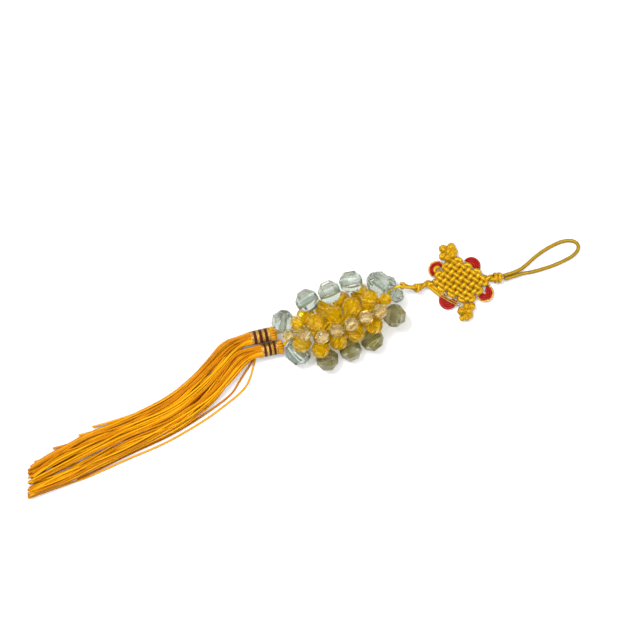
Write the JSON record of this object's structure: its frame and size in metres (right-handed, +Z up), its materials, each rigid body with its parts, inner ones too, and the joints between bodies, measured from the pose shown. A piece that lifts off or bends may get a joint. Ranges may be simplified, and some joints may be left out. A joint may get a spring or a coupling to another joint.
{
  "type": "beaded tassel charm with an endless knot",
  "caption": "Hanging charm with a cord loop, a woven endless knot, a cluster of faceted clear and amber beads and silky tassels, lying flat.",
  "frame": {"origin": "middle of the knot's flat underside, on the surface that the charm lies on", "axes": "+X along the charm towards the tip of its hanging loop, +Z up from the surface, +Y to the side of the knot's upper ear"},
  "size_m": [0.2489, 0.0388, 0.023],
  "materials": {
    "yellow_satin": "satin",
    "red_satin": "satin",
    "clear_bead": "polished",
    "amber_bead": "polished",
    "tassel_silk": "satin"
  },
  "bodies": {
    "root": {"collar_bead_far": "clear_bead", "collar_bead_near": "clear_bead", "core_cord": "yellow_satin", "ear_bottom": "yellow_satin", "ear_top": "yellow_satin", "end_bead_clear": "clear_bead", "end_bead_left": "clear_bead", "end_bead_right": "amber_bead", "end_bead_tinted": "amber_bead", "end_bead_yellow": "amber_bead", "endless_knot": "yellow_satin", "hanging_loop": "yellow_satin", "loop_knot": "yellow_satin", "neck_cord": "yellow_satin", "petal_lower_left": "red_satin", "petal_lower_right": "red_satin", "petal_upper_left": "red_satin", "petal_upper_right": "red_satin", "ridge_top_1": "clear_bead", "ridge_top_2": "clear_bead", "ridge_top_3": "clear_bead", "ridge_top_4": "clear_bead", "ridge_top_5": "clear_bead", "ridge_under_1": "clear_bead", "ridge_under_2": "clear_bead", "ridge_under_3": "clear_bead", "ridge_under_4": "clear_bead", "ridge_under_5": "clear_bead", "ring_bead_a": "clear_bead", "ring_bead_b": "clear_bead", "ring_bead_c": "clear_bead", "ring_bead_d": "clear_bead", "ring_bead_e": "clear_bead", "ring_bead_f": "clear_bead", "ring_bead_g": "clear_bead", "ring_bead_h": "clear_bead", "ring_bead_i": "clear_bead", "ring_bead_j": "clear_bead", "tassel_far": "tassel_silk", "tassel_near": "tassel_silk", "yellow_top_far_1": "amber_bead", "yellow_top_far_2": "amber_bead", "yellow_top_far_3": "amber_bead", "yellow_top_far_4": "amber_bead", "yellow_top_near_1": "amber_bead", "yellow_top_near_2": "amber_bead", "yellow_top_near_3": "amber_bead", "yellow_top_near_4": "amber_bead", "yellow_under_far_1": "amber_bead", "yellow_under_far_2": "amber_bead", "yellow_under_far_3": "amber_bead", "yellow_under_far_4": "amber_bead", "yellow_under_near_1": "amber_bead", "yellow_under_near_2": "amber_bead", "yellow_under_near_3": "amber_bead", "yellow_under_near_4": "amber_bead"}
  },
  "joints": []
}
